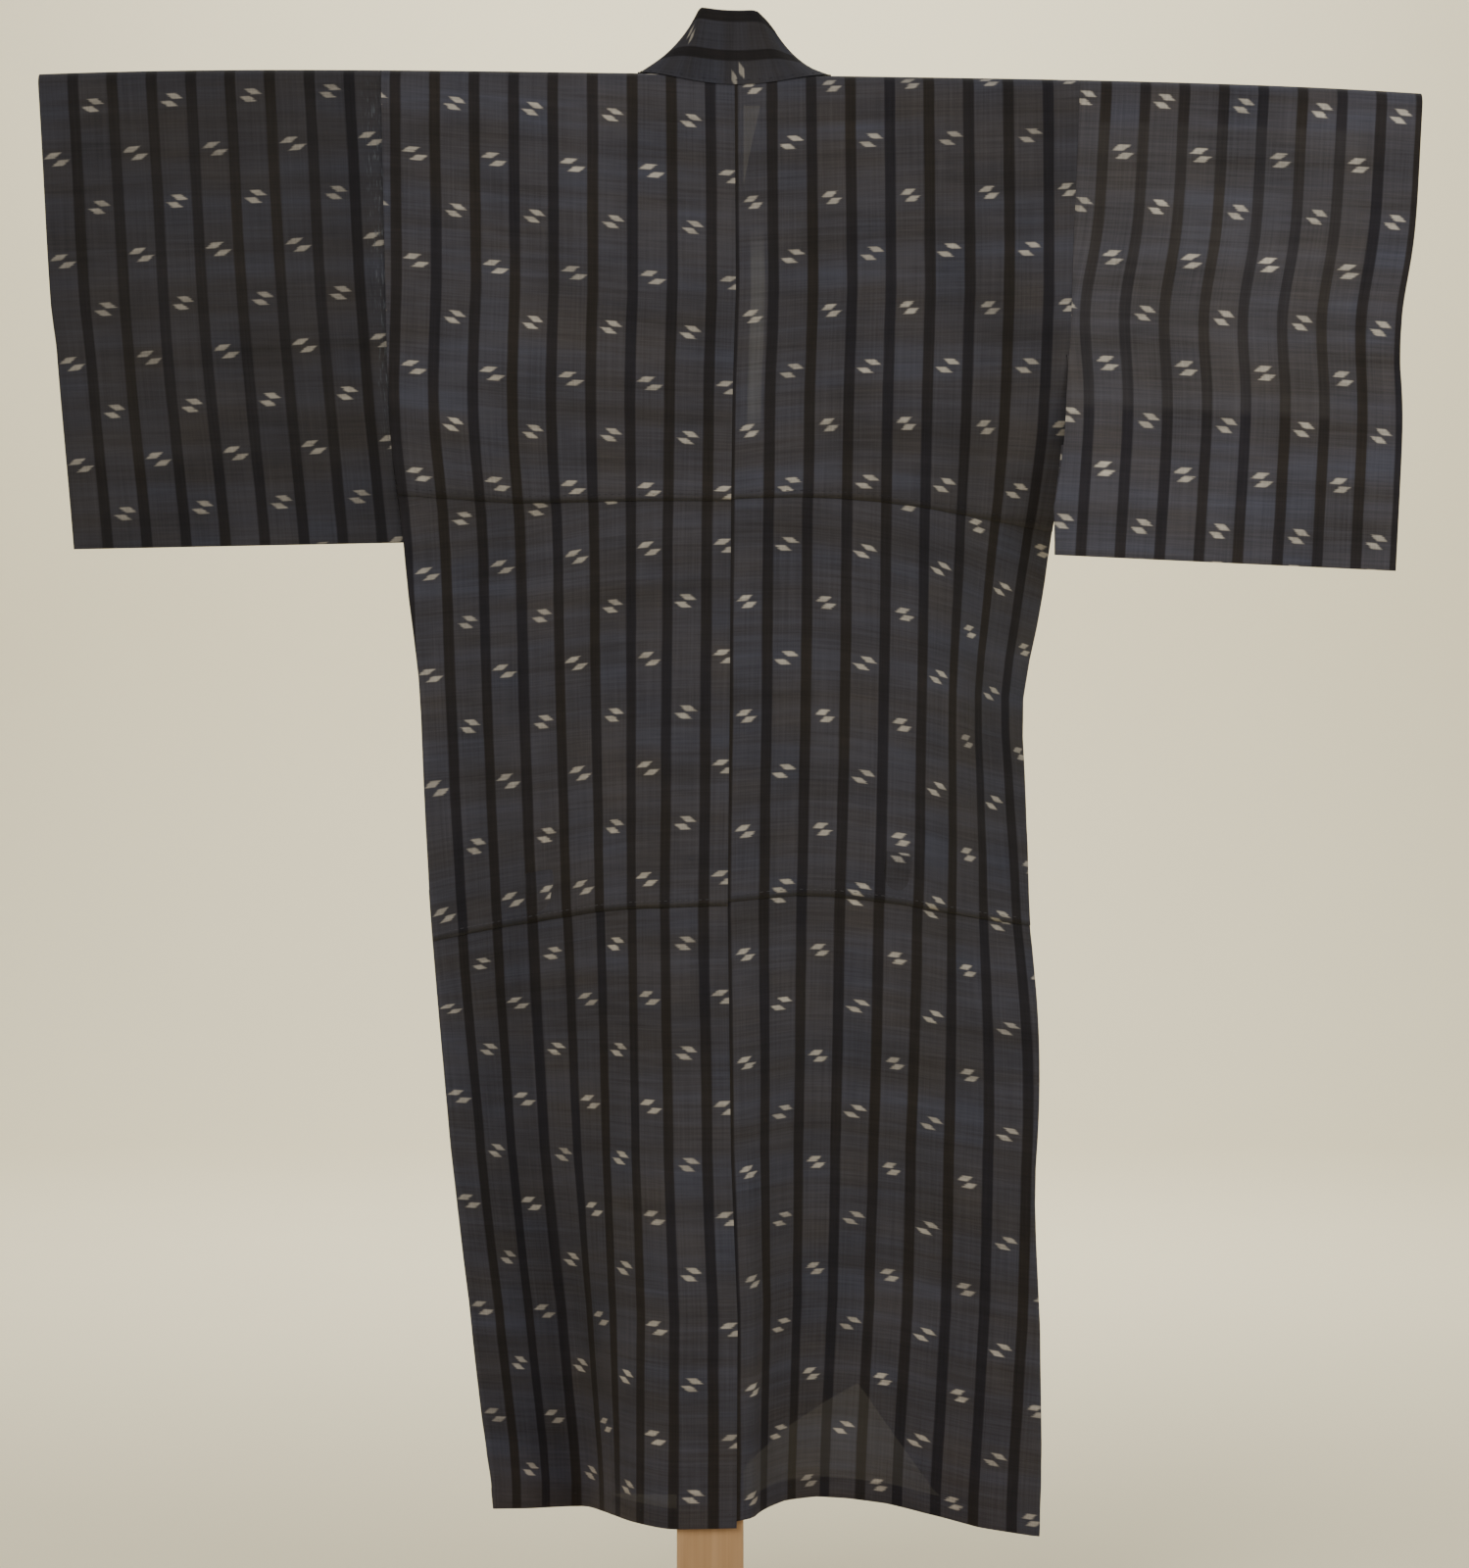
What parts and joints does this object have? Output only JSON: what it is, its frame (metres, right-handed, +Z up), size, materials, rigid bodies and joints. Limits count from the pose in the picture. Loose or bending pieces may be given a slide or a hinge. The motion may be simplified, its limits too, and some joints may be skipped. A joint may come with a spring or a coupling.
{
  "type": "kimono on a t-shaped display stand",
  "caption": "Unlined kimono spread by its sleeves on the bar of a wooden T-shaped stand, back outwards, with its fronts crossed and its hem hanging free above a base plate.",
  "frame": {"origin": "on the floor, at the middle of the stand's base", "axes": "+Z up; the kimono's back faces -Y and its fronts +Y; +X is to the right as the back is seen, which is the wearer's right"},
  "size_m": [1.248, 0.42, 1.4766],
  "materials": {
    "striped_cloth": "matt plain weave, slightly sheer",
    "stand_wood": "oiled"
  },
  "bodies": {
    "root": {"back_left": "striped_cloth", "back_right": "striped_cloth", "front_left": "striped_cloth", "front_right_upper": "striped_cloth", "front_right_middle": "striped_cloth", "front_right_lower": "striped_cloth", "sleeve_left": "striped_cloth", "sleeve_right": "striped_cloth", "overlap_left": "striped_cloth", "overlap_right": "striped_cloth", "collar": "striped_cloth", "stand_bar": "stand_wood", "stand_post": "stand_wood", "stand_base": "stand_wood"}
  },
  "joints": []
}
